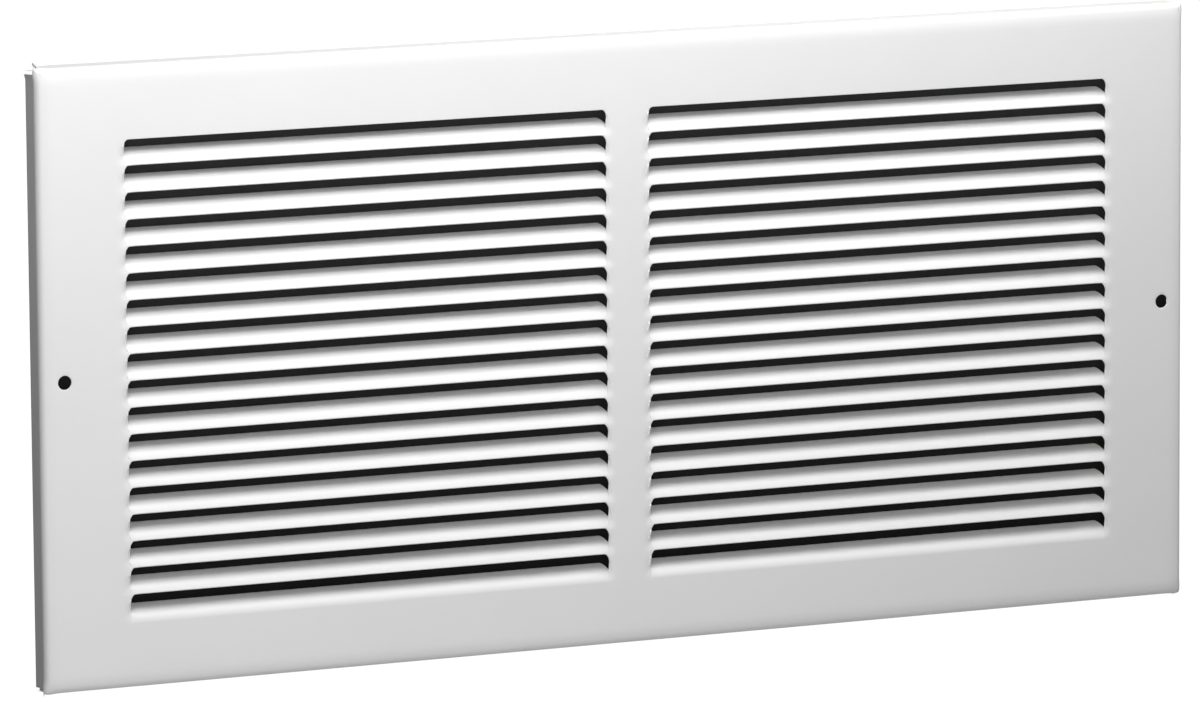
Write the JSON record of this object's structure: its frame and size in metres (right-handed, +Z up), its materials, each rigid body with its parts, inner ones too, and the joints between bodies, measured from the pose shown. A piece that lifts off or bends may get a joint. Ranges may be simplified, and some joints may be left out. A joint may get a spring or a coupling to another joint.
{
  "type": "louvred air grille",
  "caption": "Rectangular white louvred return-air grille pressed from one steel sheet, with a shallow folded rim, a centre mullion and a screw hole in each side border.",
  "frame": {"origin": "centre of the plane of the folded rim's back edge, which lies against the wall", "axes": "+X to the right seen from the front, +Y into the wall, +Z up; the louvred face looks along -Y and its slots look down into the room"},
  "size_m": [0.4, 0.0095, 0.1968],
  "materials": {
    "faceplate_coat": "satin white powder coat on steel sheet",
    "screw_paint": "white painted head, zinc plated thread",
    "tape": "matt creped masking tape"
  },
  "bodies": {
    "root": {"faceplate": "faceplate_coat", "mounting_screw_left": "screw_paint", "mounting_screw_right": "screw_paint", "screw_tape_left": "tape", "screw_tape_right": "tape"}
  },
  "joints": []
}
